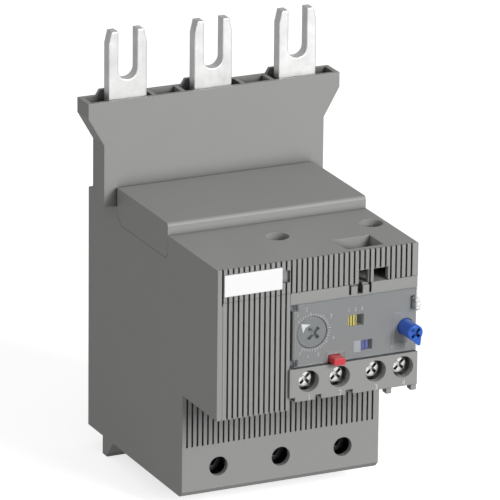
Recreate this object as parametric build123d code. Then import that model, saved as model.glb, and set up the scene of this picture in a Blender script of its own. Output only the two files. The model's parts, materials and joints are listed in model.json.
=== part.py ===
import math
import os

from build123d import *

# Electronic overload relay, in millimetres.
# Z is up, X runs across the front, and the front faces -Y.
# The origin is on the flat back of the housing, at its bottom edge, midway across.
# "Depth" below is the distance in front of that back, so a depth of 10 is Y = -10.

# Clearances
seam = 0.1                 # between mouldings that are fixed to each other
seat = 0.05                # between hard faces that bear on each other
running = 0.15             # around pieces that slide or turn
thread_gap = 0.08          # around a screw in its threaded hole

# Housing
body_width = 70.0
side_wall = 1.75
wall = 2.0
base_depth = 74.4          # front of the lower housing
bottom_bevel = 1.8
unit_front = 100.3         # front of the upper, projecting half
unit_top = 85.1
unit_height = 50.0
unit_bottom = unit_top - unit_height
rim_wall = 1.4             # of the frame behind the ribbed front cover
hood_seam = unit_top - 10.9  # level where the front wall of the hood ends
base_top = unit_top - 2.4  # ledge that the busbar shroud stands on

# Ribbed front
groove_pitch = 1.83
groove_width = 0.62
groove_depth = 1.0
base_groove_bottom = 16.9

# Feet
foot_length = 6.2
foot_width = 9.0
foot_back = 11.8
foot_tip = 3.6
foot_slope = 4.5

# Deck cover, between the shroud and the hood
deck_back = 22.9
deck_front = unit_front - 37.9
deck_top = unit_top + 4.0
deck_seam = unit_top - 7.9
deck_corner = 3.2
deck_wall = 2.0
deck_edge_radius = 1.2

# Busbar shroud
shroud_front = 22.0
shroud_back = 13.0
shroud_wall = 1.4
shroud_width = 78.4
shroud_top_width = 89.5
flare_bottom = base_top + 20.9
flare_top = flare_bottom + 9.6
shroud_top = flare_top + 5.0
rib_near = 9.2             # divider beside an outer fork, from that fork's centre
rib_middle = 10.6          # divider beside the middle fork, from its centre
divider = 1.5
tab_width = 16.6
tab_height = 1.9
tab_bevel = 1.2

# Phase bars
pole_pitch = (body_width - 2 * side_wall - 0.2) / 3  # at the cable clamps
fork_pitch = 30.2          # at the forks
bar_thickness = 4.0
bar_width = 13.2
bar_narrow = pole_pitch - 12.1  # width through the transformer and the clamp
bar_face = 20.3            # depth of the fork's front face
fork_top = shroud_top + 22.6
fork_slot = 6.8
fork_slot_bottom = shroud_top + 6.2
fork_bevel = 1.0
fork_bevel_length = 4.2
jog_top = base_top + 23.3  # the outer bars step inwards between these two levels
jog_bottom = base_top + 7.3
bar_turn = base_top - 16.7  # underside of the run from the shroud to the clamps
bar_end = 3.2

# Cable clamps
clamp_level = 9.1
clamp_bar_face = 0.7 * base_depth  # front face of the bar, where the screw's tip bears
clamp_height = 11.2
clamp_wall = 2.0
clamp_side = 1.7
clamp_inside = pole_pitch - 8.9
cable_room = 13.0          # behind the bar, for the cable
clamp_front_room = 8.0
clamp_travel = 6.0
clamp_thread = 8.0
clamp_hex = 4.0
clamp_hex_depth = 4.0
driver_hole = 6.5
bar_slack = 0.4            # around a bar where it passes through a wall
partition = 1.6
partition_top = unit_bottom - 3.1
partition_back = 30.0

# Transformers
tray_thickness = 2.0
core_width = pole_pitch - 2.5
core_height = 11.0
core_limb = 4.0
core_front = clamp_bar_face + 10.3
core_back = core_front - 23.4
tray_back = core_back - 6.0
tray_front = core_front + 4.6
coil_wall = 2.4
coil_length = core_width - 8.6

# Control module, 45 mm wide
module_right = body_width / 2 - 0.1
module_left = module_right - 44.6  # places across the module are counted from here
module_overlap = unit_front - 10.8  # the module is as wide as the housing in front of this depth
module_side = 1.4
strip_bottom = hood_seam - 4.0
panel_front = unit_front - 0.4
panel_back = panel_front - 2.0
panel_left = module_left + 0.95
panel_bevel = 0.3          # along the left edge, where the cover swings round it
panel_bottom = unit_bottom + 14.1
panel_middle = (panel_bottom + strip_bottom) / 2
plate_front = panel_back - 6.2  # guide plate behind the panel
plate_thickness = 1.2
tongue_slots = ((20.4, 21.2), (23.4, 25.3), (27.5, 28.3))
tongue_depth = 3.4
window_top = hood_seam + 4.4
windows = ((23.8, 27.2), (29.0, 34.1))

# Clear cover over the settings
cover_back = unit_front - 0.2
cover_thickness = 0.8
cover_left = module_left + 1.3
cover_right = module_right - 0.2
hinge_x = module_left + 1.75
hinge_depth = cover_back - 0.9
hinge_radius = 0.8
hinge_engaged = 1.0
hinge_knuckle = 2.2
seal_x = (module_right - 2.2, module_right - 0.7)
seal_level = (strip_bottom - 7.4, strip_bottom - 2.7)

# Dial
dial_x = module_left + 7.8
dial_level = panel_middle + 0.3
dial_radius = 5.2
dial_front = panel_front - 0.2
dial_thickness = 1.4
dial_shaft = 1.6
dial_slot = 1.1
dial_slot_length = 5.0
dial_slot_depth = 1.0

# Trip class slider and test slider
class_x = (module_left + 20.6, module_left + 23.5)
class_level = (panel_middle + 0.5, panel_middle + 4.0)
class_travel = 2.3
test_x = (module_left + 25.2, module_left + 27.6)
test_level = (panel_bottom + 2.5, panel_bottom + 5.6)
test_travel = 1.3
slider_front = panel_front - 0.2
slider_stem = 0.55         # half the thickness of the stem that reaches the switch
slider_play = 0.3
flange = 0.8               # how far a slider's flange reaches behind the panel
flange_thickness = 1.0

# Stop button
stop_x = (module_left + 13.8, module_left + 17.7)
stop_level = (panel_bottom, panel_bottom + 2.2)
stop_front = unit_front + 3.8
stop_travel = 2.0
stem_level = panel_bottom + 1.4
stop_stem = 0.8

# Reset button
reset_x = module_left + 40.8
reset_level = panel_middle - 2.3
reset_radius = 2.65
reset_front = unit_front + 6.9
reset_collar = 3.1
reset_plunger_collar = 2.2
reset_travel = 2.5
reset_stem = 1.3
reset_cone = 1.8           # pointed end of the plunger
reset_short = 0.9          # what the pressed plunger stays short of the contact carrier
reset_pointer = 4.6        # reach of its pointer
reset_pointer_angle = -70.0  # of the pointer at rest, almost straight down
reset_pointer_length = 2.6
reset_slot_depth = 1.0

# Auxiliary terminals
block_bottom = unit_bottom + 2.8
block_top = block_bottom + 11.0
block_front = unit_front + 1.0
floor_front = unit_front - 7.8  # the housing's floor ends here, so that wires reach the terminals
aux_x = (module_left + 6.2, module_left + 17.1, module_left + 29.8, module_left + 39.5)
block_notches = ((-0.4, 1.5), (8.6, 10.7), (19.3, 21.8))
block_hooks = ((34.0, 35.8), (42.7, 44.6))
aux_level = block_bottom + 6.4
aux_hole = 3.6
aux_face = 2.5             # thickness of the block's front
chamber_half = 3.9
chamber_back = block_front - 10.7
chamber_top = block_top - 0.8
aux_head_radius = 2.7
aux_head = 2.0
aux_head_front = block_front - 3.0
aux_slot_depth = 1.2
aux_shank = 1.7
aux_travel = 2.0
aux_reach = 1.5            # of the loosened screw, behind its chamber
aux_skin = 1.1             # of the block, behind the tightened screw
washer_half = 3.3
washer_thickness = 1.0
strip_thickness = 1.2
lead_bottom = block_bottom + 1.4

# Trip unit
board_depth = plate_front - 5.7
board_thickness = 1.6
board_bottom = panel_bottom + 0.4
board_top = hood_seam - 0.8
carrier_depth = board_depth - 10.0
coil_level = hood_seam - 9.7
carrier_level = (coil_level - 12.5, coil_level - 7.5)
carrier_half = 2.0
carrier_x = (module_left + 6.7, module_left + 35.7)
trip_travel = 1.5
bridge_thickness = 0.8
bridge_half = 6.0
nc_bridge = module_left + 12.7
no_bridge = module_left + 22.3
contact_clear = 0.2        # left between the open contact and its bridge at full travel
rivet = 0.3
coil_radius = 6.0
coil_x = (module_left + 14.3, module_left + 29.1)
yoke_thickness = 1.5
yoke_x = (coil_x[0] - yoke_thickness - 0.1, coil_x[1] + yoke_thickness + 0.1)
yoke_half = 7.0
rod_radius = 2.0
carrier_guides = ((18.7, 20.7), (31.9, 33.9))
guide_wall = 1.4
base_plate_depth = (carrier_depth - 9.0, carrier_depth - 7.4)
base_plate_x = (module_left + 2.2, module_left + 42.5)
post_half = 2.7            # block on the base plate that a housing screw enters
post_height = 5.8
rail_below = 3.4           # the board's rails leave out the stretch round the reset plunger
rail_above = 4.6
chip_x = (8.0 - body_width / 2, 18.0 - body_width / 2)
chip_level = (board_bottom + 4.9, board_bottom + 10.9)
capacitor_x = (chip_x[0] + 0.5, chip_x[1] - 0.5)
capacitor_level = chip_level[1] + 6.0
capacitor_radius = 3.6

# Top of the hood
well_depth = 8.2
well_wall = 1.3
well_floor = 1.6
screw_hole = 3.9
screw_hole_x = (module_left + 6.2, module_left + 39.4)
screw_hole_depth = unit_front - 23.4
screw_head = 3.2
screw_shank = 1.45
pocket_x = (module_left + 19.9, module_left + 33.8)
pocket_depth = (unit_front - 13.0, unit_front - 3.0)
pocket_drop = 5.6
pocket_wall = 1.4

# Label
label_x = (2.3 - body_width / 2, module_left - 3.0)
label_level = (hood_seam + 1.9, unit_top - 1.9)
label_proud = 0.15

half = body_width / 2
inner_half = half - side_wall
poles = (-1, 0, 1)


# Shapes

def block(x, depth, z):
    size = Box(x[1] - x[0], depth[1] - depth[0], z[1] - z[0])
    return Pos((x[0] + x[1]) / 2, -(depth[0] + depth[1]) / 2, (z[0] + z[1]) / 2) * size


def side_profile(points, x):
    """A closed outline of (depth, z) points, run across the relay."""
    outline = Polyline(*[(-depth, z) for depth, z in points], close=True)
    return extrude(Plane.YZ.offset(x[0]) * make_face(outline), x[1] - x[0])


def front_profile(points, depth):
    """A closed outline of (x, z) points, run forwards."""
    outline = Polyline(*points, close=True)
    return extrude(Plane.XZ.offset(depth[0]) * make_face(outline), depth[1] - depth[0])


def rod(x, z, radius, depth):
    """A round bar that runs forwards."""
    return extrude(Plane.XZ.offset(depth[0]) * Pos(x, z) * Circle(radius), depth[1] - depth[0])


def rod_across(depth, z, radius, x):
    return extrude(Plane.YZ.offset(x[0]) * Pos(-depth, z) * Circle(radius), x[1] - x[0])


def rod_up(x, depth, radius, z):
    return extrude(Plane.XY.offset(z[0]) * Pos(x, -depth) * Circle(radius), z[1] - z[0])


def grow(span, by):
    return (span[0] - by, span[1] + by)


def grooves(x, front, z):
    """The front's upright grooves that lie within a stretch of the width."""
    first = -inner_half
    count = int(2 * inner_half / groove_pitch) + 1
    centres = [first + groove_pitch * i for i in range(count)]
    kept = [c for c in centres if x[0] - 0.01 <= c <= x[1] + 0.01]
    depth = (front - groove_depth, front + 1)
    return [block((c - groove_width / 2, c + groove_width / 2), depth, z) for c in kept]


def coil_spring(radius, wire, depth, turns, x, z):
    """A compression spring of square wire that lies along the depth, eight straight runs to a turn."""
    margin = 1.1 * wire
    length = depth[1] - depth[0] - 2 * margin
    corners = []
    for i in range(8 * turns + 1):
        angle = math.tau * i / 8
        corners.append((radius * math.cos(angle), radius * math.sin(angle), length * i / (8 * turns)))
    path = Polyline(*corners)
    start = Plane(origin=path @ 0, x_dir=(1, 0, 0), z_dir=path % 0)
    side = 1.7 * wire
    wound = sweep(start * Rectangle(side, side), path=path, transition=Transition.RIGHT)
    return Plane(origin=(x, -depth[0] - margin, z), x_dir=(1, 0, 0), z_dir=(0, -1, 0)) * wound


# Places that several pieces share

def fork_x(pole):
    return pole * fork_pitch


def clamp_x(pole):
    return pole * pole_pitch


def across_module(span):
    return (module_left + span[0], module_left + span[1])


bar_span = (bar_face - bar_thickness, bar_face)
clamp_bar = (clamp_bar_face - bar_thickness, clamp_bar_face)
cable_span = (clamp_bar[0] - cable_room, clamp_bar[0])
clamp_levels = (clamp_level - clamp_height / 2, clamp_level + clamp_height / 2)
plate_span = (plate_front - plate_thickness, plate_front)
board_span = (board_depth, board_depth + board_thickness)
stem_x = (stop_x[0] + stop_x[1]) / 2
stem_back = carrier_depth + bridge_half + stop_travel
plunger_tip = carrier_depth + carrier_half + reset_travel + reset_short
switch_front = plate_span[0] - 0.2
flange_back = panel_back - seam - flange_thickness
trimmer_front = plate_span[0] - 1.3
block_back = chamber_back - aux_reach - aux_travel - aux_skin
well_bottom = base_top - well_depth
base_plate_top = well_bottom - 0.2
carrier_arm = (carrier_x[1] - 1.0, carrier_x[1] + 0.6)


# Housing

def foot_outline():
    return [
        (foot_back, seam),
        (foot_back, -foot_length),
        (foot_back + foot_tip, -foot_length),
        (foot_back + foot_tip + foot_slope, -0.2),
        (foot_back + foot_tip + foot_slope + 2.0, seam),
    ]


def deck_outline(gap):
    """Outline of the deck cover seen from the side, grown by a gap all round its lower edges."""
    back = deck_back - gap
    front = deck_front + gap
    low = deck_seam - gap
    return [
        (back, deck_top + 5 * gap),
        (back, low + deck_corner),
        (back + deck_corner, low),
        (front - deck_corner / 2, low),
        (front, low + deck_corner / 2),
        (front, deck_top + 5 * gap),
    ]


def make_main_housing():
    outline = [
        (0, 0), (0, base_top), (deck_front, base_top), (deck_front, unit_top), (unit_front, unit_top),
        (unit_front, unit_bottom), (base_depth, unit_bottom), (base_depth, bottom_bevel),
        (base_depth - bottom_bevel, 0),
    ]
    shell = side_profile(outline, (-half, half))
    cavity = [
        (wall, wall), (wall, base_top - wall), (deck_back, base_top - wall), (deck_back, deck_top),
        (deck_front + seam, deck_top), (deck_front + seam, deck_seam),
        (deck_front + wall, deck_seam), (deck_front + wall, unit_top - wall),
        (unit_front - wall, unit_top - wall), (unit_front - wall, hood_seam),
        (unit_front + 1, hood_seam), (unit_front + 1, unit_bottom + wall),
        (base_depth - wall, unit_bottom + wall), (base_depth - wall, wall),
    ]
    shell -= side_profile(cavity, (-inner_half, inner_half))
    shell -= side_profile(deck_outline(seam), (-half - 1, half + 1))

    # The front cover and the module lap the floor's front edge
    lap = (unit_front - wall - seam, unit_front + 1)
    shell -= block((-inner_half, module_left), lap, (unit_bottom - 1, hood_seam))
    shell -= block((module_left, half + 1), (floor_front, unit_front + 1), (unit_bottom - 1, block_bottom))
    beside = (module_overlap - seam, unit_front + 1)
    shell -= block((inner_half - 1, half + 1), beside, (unit_bottom - 1, hood_seam))

    # Feet
    for side in (-1, 1):
        across = sorted((side * half, side * (half - foot_width)))
        shell += side_profile(foot_outline(), across)

    # Partitions between the cable clamps
    for x in (-pole_pitch / 2, pole_pitch / 2):
        across = (x - partition / 2, x + partition / 2)
        shell += block(across, (partition_back, base_depth - wall / 2), (wall / 2, partition_top))

    # Rails that hold the circuit board, two on each side wall
    for side in (-1, 1):
        across = sorted((side * (inner_half - 1.6), side * (inner_half + side_wall / 2)))
        for depth in (board_span[0] - running - 1.5, board_span[1] + running):
            for levels in ((board_bottom, reset_level - rail_below), (reset_level + rail_above, board_top)):
                shell += block(across, (depth, depth + 1.5), levels)

    # Ribbed front
    full = (-inner_half, inner_half)
    shell -= grooves(full, unit_front, (hood_seam - 1, unit_top + 1))
    shell -= grooves(full, base_depth, (base_groove_bottom, unit_bottom - 0.01))

    # Cable entries, driver holes and the slots that the phase bars pass through
    for pole in poles:
        x = clamp_x(pole)
        entry = (x - clamp_inside / 2, x + clamp_inside / 2)
        shell -= block(entry, cable_span, (-1, wall + 1))
        shell -= rod(x, clamp_level, driver_hole / 2, (base_depth - wall - 1, base_depth + 1))
        slot = grow((x - bar_width / 2, x + bar_width / 2), bar_slack)
        shell -= block(slot, grow(bar_span, bar_slack), (base_top - wall - 1, base_top + 1))

    # Windows above the module, and the recess that the label lies in
    for window in windows:
        shell -= block(across_module(window), (unit_front - wall - 1, unit_front + 1), (hood_seam - 1, window_top))
    label_floor = unit_front - groove_depth
    shell -= block(grow(label_x, seam), (label_floor, unit_front + 1), grow(label_level, seam))
    notch = (label_level[0] + 1.9, label_level[1] - 1.2)
    shell -= block((label_x[1], module_left - 0.3), (label_floor, unit_front + 1), notch)

    # Screw wells in the top
    reach = screw_hole + well_wall + 1
    for x in screw_hole_x:
        well = rod_up(x, screw_hole_depth, screw_hole + well_wall, (well_bottom, unit_top - wall / 2))
        round_it = grow((screw_hole_depth, screw_hole_depth), reach)
        well -= block((inner_half, half + reach), round_it, (well_bottom - 1, unit_top))
        shell += well
        shell -= rod_up(x, screw_hole_depth, screw_hole, (well_bottom + well_floor, unit_top + 1))
        floor = (well_bottom - 1, well_bottom + well_floor + 0.5)
        shell -= rod_up(x, screw_hole_depth, screw_shank + 0.25, floor)

    # Finger pocket in the top, deep on the right and running out to the left
    low = unit_top - pocket_drop
    tub_depth = (pocket_depth[0] - pocket_wall, unit_front - wall / 2)
    shell += block(grow(pocket_x, pocket_wall), tub_depth, (low - pocket_wall, unit_top - wall / 2))
    run = Spline(
        (pocket_x[0], unit_top), (pocket_x[0] + 4.5, unit_top - 0.5 * pocket_drop), (pocket_x[1] - 2.5, low),
    )
    rest = Polyline(
        (pocket_x[1] - 2.5, low), (pocket_x[1], low), (pocket_x[1], unit_top + 1),
        (pocket_x[0], unit_top + 1), (pocket_x[0], unit_top),
    )
    scoop = make_face(run.edges() + rest.edges())
    shell -= extrude(Plane.XZ.offset(pocket_depth[0]) * scoop, pocket_depth[1] - pocket_depth[0])
    return shell


def make_front_cover():
    """Ribbed panel that closes the front beside the module."""
    x = (-inner_half + seam, module_left - seam)
    panel = block(x, (unit_front - wall, unit_front), (unit_bottom, hood_seam - seam))
    inner = unit_front - wall
    levels = (unit_bottom + wall + 0.5, hood_seam - 3)
    rim = block(grow(x, -1.5), (inner - 5, inner + 0.5), levels)
    panel += rim - block(grow(x, -1.5 - rim_wall), (inner - 6, inner + 1), grow(levels, -rim_wall))
    panel -= grooves((x[0] + 1, x[1]), unit_front, (unit_bottom - 1, hood_seam + 1))
    return panel


def make_deck_cover():
    cover = side_profile(deck_outline(0), (-half, half))
    edge = cover.edges().filter_by(Axis.X).sort_by(Axis.Z)[-2:].sort_by(Axis.Y)[0]
    cover = fillet(edge, deck_edge_radius)
    hollow = [
        (deck_back + deck_wall, deck_seam - 1), (deck_back + deck_wall, deck_top - deck_wall),
        (deck_front - deck_wall, deck_top - deck_wall), (deck_front - deck_wall, deck_seam - 1),
    ]
    cover -= side_profile(hollow, (-half + deck_wall, half - deck_wall))
    back_gap = side_profile(
        [(deck_back - 1, deck_seam - 1), (deck_back - 1, base_top - wall - 1),
         (deck_back + deck_wall + 1, base_top - wall - 1), (deck_back + deck_wall + 1, deck_seam - 1)],
        (-half + deck_wall, half - deck_wall),
    )
    return cover - back_gap


# Busbar shroud

def shroud_outline(inset):
    narrow = shroud_width / 2 - inset
    wide = shroud_top_width / 2 - inset
    slant = inset * 0.45
    low = base_top + seam
    return [
        (-narrow, low), (-narrow, flare_bottom + slant), (-wide, flare_top + slant), (-wide, shroud_top),
        (wide, shroud_top), (wide, flare_top + slant), (narrow, flare_bottom + slant), (narrow, low),
    ]


def make_shroud_front():
    back = shroud_back + shroud_wall + seam
    body = front_profile(shroud_outline(0), (back, shroud_front))
    inside = [(x, z + 1 if z == shroud_top else max(z, base_top + seam + wall)) for x, z in shroud_outline(1.6)]
    body -= front_profile(inside, (back - 1, shroud_front - shroud_wall))
    for side in (-1, 1):
        for x in (fork_x(side) - side * rib_near, side * rib_middle):
            body += block((x - divider / 2, x + divider / 2), (back, shroud_front - shroud_wall / 2),
                          (base_top + seam + wall / 2, shroud_top))
    for pole in poles:
        x = clamp_x(pole)
        slot = grow((x - bar_width / 2, x + bar_width / 2), bar_slack)
        body -= block(slot, grow(bar_span, bar_slack), (base_top - 1, base_top + wall + 1))
    # The dividers stop above the stretch where the outer bars step inwards
    body -= block(grow((-shroud_width / 2, shroud_width / 2), -1.6), grow(bar_span, bar_slack),
                  (base_top + seam + wall, jog_top + 2))
    return body


def make_shroud_back():
    plate = front_profile(shroud_outline(0), (shroud_back, shroud_back + shroud_wall))
    for pole in poles:
        x = fork_x(pole)
        tab = [
            (x - tab_width / 2, shroud_top - 1), (x - tab_width / 2, shroud_top),
            (x - tab_width / 2 + tab_bevel, shroud_top + tab_height),
            (x + tab_width / 2 - tab_bevel, shroud_top + tab_height),
            (x + tab_width / 2, shroud_top), (x + tab_width / 2, shroud_top - 1),
        ]
        plate += front_profile(tab, (shroud_back, shroud_back + shroud_wall))
    return plate


# Current path

def make_phase_bar(pole):
    """Forked bar from the contactor side, through the transformer, to the cable clamp."""
    top_x = fork_x(pole)
    low_x = clamp_x(pole)
    half_bar = bar_width / 2
    outline = [
        (low_x - half_bar, bar_turn), (low_x - half_bar, jog_bottom),
        (top_x - half_bar, jog_top), (top_x - half_bar, fork_top - fork_bevel_length),
        (top_x - half_bar + fork_bevel, fork_top), (top_x + half_bar - fork_bevel, fork_top),
        (top_x + half_bar, fork_top - fork_bevel_length), (top_x + half_bar, jog_top),
        (low_x + half_bar, jog_bottom), (low_x + half_bar, bar_turn),
    ]
    if pole == 0:
        outline = [p for p in outline if p[1] not in (jog_top, jog_bottom)]
    bar = front_profile(outline, bar_span)
    radius = fork_slot / 2
    round_end = fork_slot_bottom + radius
    deep = grow(bar_span, 1)
    bar -= rod(top_x, round_end, radius, deep)
    bar -= block((top_x - radius, top_x + radius), deep, (round_end, fork_top + 1))
    run = [
        (bar_span[0], bar_turn), (bar_span[0], bar_turn + bar_thickness),
        (clamp_bar[1], bar_turn + bar_thickness), (clamp_bar[1], bar_end),
        (clamp_bar[0], bar_end), (clamp_bar[0], bar_turn),
    ]
    across = (low_x - bar_narrow / 2, low_x + bar_narrow / 2)
    return bar + side_profile(run, across)


def make_transformer_tray():
    level = (partition_top + 0.05, partition_top + tray_thickness)
    tray = block((-inner_half + 0.2, inner_half - 0.2), (tray_back, tray_front), level)
    for pole in poles:
        x = clamp_x(pole)
        window = grow((x - bar_narrow / 2, x + bar_narrow / 2), bar_slack)
        tray -= block(window, grow(clamp_bar, bar_slack), (level[0] - 1, level[1] + 1))
    return tray


def core_levels():
    low = partition_top + tray_thickness + coil_wall + 0.6
    return (low, low + core_height)


def make_transformer_core(pole):
    x = clamp_x(pole)
    outer = (x - core_width / 2, x + core_width / 2)
    core = block(outer, (core_back, core_front), core_levels())
    window = grow(outer, -core_limb + 0.1)
    core -= block(window, (core_back + core_limb, core_front - core_limb), grow(core_levels(), 1))
    return core


def make_transformer_winding(pole):
    """Bobbin coil on the rear limb of the core."""
    x = clamp_x(pole)
    across = (x - coil_length / 2, x + coil_length / 2)
    limb = (core_back, core_back + core_limb)
    around = coil_wall + 0.1
    coil = block(across, grow(limb, around), grow(core_levels(), around))
    coil = chamfer(coil.edges().filter_by(Axis.X), coil_wall * 0.6)
    return coil - block(grow(across, 1), grow(limb, 0.1), grow(core_levels(), 0.1))


def make_clamp_cage(pole):
    x = clamp_x(pole)
    inside = (x - clamp_inside / 2, x + clamp_inside / 2)
    back = cable_span[0]
    front = clamp_bar_face + clamp_front_room
    cage = block(grow(inside, clamp_side), (back - clamp_wall, front + clamp_wall), clamp_levels)
    cage = chamfer(cage.edges().filter_by(Axis.Z), 1.0)
    cage -= block(inside, (back, front), grow(clamp_levels, 1))
    return cage - rod(x, clamp_level, clamp_thread / 2 + thread_gap, (front - 1, front + clamp_wall + 1))


def make_clamp_screw(pole):
    x = clamp_x(pole)
    back = clamp_bar_face + seat
    front = clamp_bar_face + clamp_front_room + clamp_wall + clamp_travel
    screw = rod(x, clamp_level, clamp_thread / 2, (back, front))
    screw = chamfer(screw.edges().filter_by(GeomType.CIRCLE), 0.5)
    socket = RegularPolygon(clamp_hex / 2, 6, major_radius=False)
    floor = Plane.XZ.offset(front - clamp_hex_depth)
    return screw - extrude(floor * Pos(x, clamp_level) * socket, clamp_hex_depth + 1)


# Control module

def make_module_frame():
    """Strip over the settings, side walls and the guide plate behind the panel."""
    top = (strip_bottom, hood_seam - seam)
    frame = block((module_left, module_right), (module_overlap, unit_front), top)
    tongue_levels = (hood_seam - tongue_depth, hood_seam + 1)
    for slot in tongue_slots:
        frame -= block(across_module(slot), (unit_front - 2.6, unit_front + 1), tongue_levels)
    tongues = across_module((tongue_slots[0][1], tongue_slots[2][0]))
    frame -= block(tongues, (unit_front - 0.7, unit_front + 1), (hood_seam - 0.7, hood_seam + 1))
    inner = panel_back - seam
    levels = (block_top + seam, strip_bottom + 0.5)
    frame += block((module_left, module_left + 1.3), (plate_span[0], inner), levels)
    frame += block((module_right - module_side, module_right), (module_overlap, inner), levels)
    frame -= rod(reset_x, reset_level, reset_collar + seam, (plate_span[1], panel_back))
    frame -= block(seal_x, (plate_span[1], panel_back), seal_level)
    plate = block((module_left, module_right - 0.5), plate_span, levels)
    through = grow(plate_span, 1)
    plate -= rod(dial_x, dial_level, dial_shaft + running, through)
    plate -= rod(reset_x, reset_level, reset_stem + running, through)
    for slider in ((class_x, class_level, class_travel), (test_x, test_level, test_travel)):
        across, upright = stem_slot(*slider)
        plate -= block(across, through, upright)
    plate -= rod(stem_x, stem_level, stop_stem + running, through)
    frame += plate
    # Bore for the cover's upper hinge pin
    pin = hinge_radius + running
    frame -= rod_up(hinge_x, hinge_depth, pin, (strip_bottom - 1, strip_bottom + hinge_engaged + 0.3))
    return frame


def make_control_panel():
    right = module_right - seam
    top = strip_bottom - seam
    panel = block((panel_left, right), (panel_back, panel_front), (panel_bottom, top))
    panel = chamfer(panel.edges().filter_by(Axis.Z).sort_by(Axis.X)[:2].sort_by(Axis.Y)[0], panel_bevel)
    through = grow((panel_back, panel_front), 1)
    panel -= rod(dial_x, dial_level, dial_radius + running, through)
    panel -= rod(reset_x, reset_level, reset_radius + running, through)
    panel -= block(grow((class_x[0], class_x[1] + class_travel), running), through, grow(class_level, running))
    panel -= block(grow((test_x[0], test_x[1] + test_travel), running), through, grow(test_level, running))
    panel -= block(grow(stop_x, running), through, (panel_bottom - 1, stop_level[1] + running))
    knuckle = (panel_left - 1, hinge_x + hinge_radius + 0.4)
    for levels in ((top - hinge_knuckle - 0.2, top + 1), (panel_bottom - 1, block_top + hinge_knuckle + 0.4)):
        panel -= block(knuckle, (hinge_depth - 1.2, panel_front + 1), levels)
    panel -= block(seal_x, through, seal_level)
    return panel


def make_terminal_block():
    across = (module_left, module_right)
    body = block(across, (module_overlap, block_front), (block_bottom, block_top))
    body += block((module_left, inner_half - seam), (block_back, module_overlap + 1), (block_bottom, block_top - 0.6))
    body += block((module_left - 0.4, module_left + 1), (unit_front + seam, block_front), (block_bottom, block_top))
    # Notches and hooks along the lower edge, where the wires go in
    notch_depth = (block_front - 3.5, block_front + 1)
    for span in block_notches:
        body -= block(across_module(span), notch_depth, (block_bottom - 1, block_bottom + 1.5))
    hook = [
        (block_front - 4.2, block_bottom + 0.2), (block_front - 3.2, block_bottom - 2.1),
        (block_front - 0.6, block_bottom - 2.1), (block_front - 0.6, block_bottom + 0.2),
    ]
    for span in block_hooks:
        body += side_profile(hook, across_module(span))
    for x in aux_x:
        chamber = (x - chamber_half, x + chamber_half)
        face = block_front - aux_face
        body -= block(chamber, (chamber_back, face), (block_bottom - 1, chamber_top))
        body -= rod(x, aux_level, aux_hole, (face - 1, block_front + 1))
        body -= rod(x, aux_level, aux_shank + 0.3, (block_back - 1, chamber_back + 1))
        lead_levels = (block_bottom - 1, lead_bottom + strip_thickness + 0.5)
        body -= block((x - 1.7, x + 1.7), (block_back - 1, chamber_back + 1), lead_levels)
    pin = hinge_radius + running
    body -= rod_up(hinge_x, hinge_depth, pin, (block_top - hinge_engaged - 0.3, block_top + 1))
    return body


def make_clear_cover():
    levels = (panel_bottom + 0.25, strip_bottom - 0.2)
    plate = block((cover_left, cover_right), (cover_back, cover_back + cover_thickness), levels)
    through = grow((cover_back, cover_back + cover_thickness), 1)
    plate -= block((stop_x[0] - 0.9, stop_x[1] + 1.5), through, (levels[0] - 1, stop_level[1] + 1.0))
    around = grow((reset_level, reset_level), reset_pointer + 0.4)
    plate -= block((reset_x - reset_pointer, cover_right + 1), through, around)
    # Hinge pins at the two left corners, with a web from each to the plate
    web_x = (max(hinge_x - hinge_radius, cover_left), hinge_x + hinge_radius)
    for low, high, pin in (
        (levels[1] - hinge_knuckle + 0.4, levels[1], (levels[1] - 1, strip_bottom + hinge_engaged)),
        (levels[0], levels[0] + hinge_knuckle - 0.4, (block_top - hinge_engaged, levels[0] + 1)),
    ):
        plate += rod_up(hinge_x, hinge_depth, hinge_radius, (min(low, pin[0]), max(high, pin[1])))
        plate += block(web_x, (hinge_depth, cover_back + 0.2), (low, high))
    # Raised eye for a seal wire
    across = (cover_right - 1.6, cover_right)
    eye = block(across, (cover_back + 0.2, cover_back + 3.2), grow(seal_level, -0.3))
    eye = chamfer(eye.edges().filter_by(Axis.X).sort_by(Axis.Y)[:2], 1.0)
    eye -= rod_across(cover_back + 1.9, (seal_level[0] + seal_level[1]) / 2, 0.8, grow(across, 1))
    return plate + eye


def cross(x, z, front, length, width, deep):
    arm = Rectangle(length, width) + Rectangle(width, length)
    return extrude(Plane.XZ.offset(front - deep) * Pos(x, z) * Rot(0, 0, 45) * arm, deep + 1)


def pointer_outline():
    """White arrow on the dial: a tip, two barbs and a notched tail."""
    return [(-3.75, 3.3), (-0.5, 2.6), (-2.3, 1.7), (-3.0, 0.0)]


def make_current_dial():
    back = dial_front - dial_thickness
    dial = rod(dial_x, dial_level, dial_radius, (back, dial_front))
    dial = chamfer(dial.edges().filter_by(GeomType.CIRCLE).sort_by(Axis.Y)[0], 0.25)
    dial += rod(dial_x, dial_level, dial_shaft, (trimmer_front + 0.3, back + 0.1))
    dial -= cross(dial_x + 0.6, dial_level - 0.4, dial_front, dial_slot_length, dial_slot, dial_slot_depth)
    arrow = [(dial_x + x, dial_level + z) for x, z in pointer_outline()]
    return dial - front_profile(arrow, (dial_front - 0.3, dial_front + 1))


def make_dial_pointer():
    arrow = [(dial_x + x, dial_level + z) for x, z in pointer_outline()]
    return front_profile(arrow, (dial_front - 0.3, dial_front + 0.05))


def middle(span):
    return (span[0] + span[1]) / 2


def stem_slot(x, level, travel):
    """Width and levels of the opening that a slider's stem travels in."""
    side = slider_stem + slider_play
    return (middle(x) - side, middle(x) + travel + side), (middle(level) - side, middle(level) + side)


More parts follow.
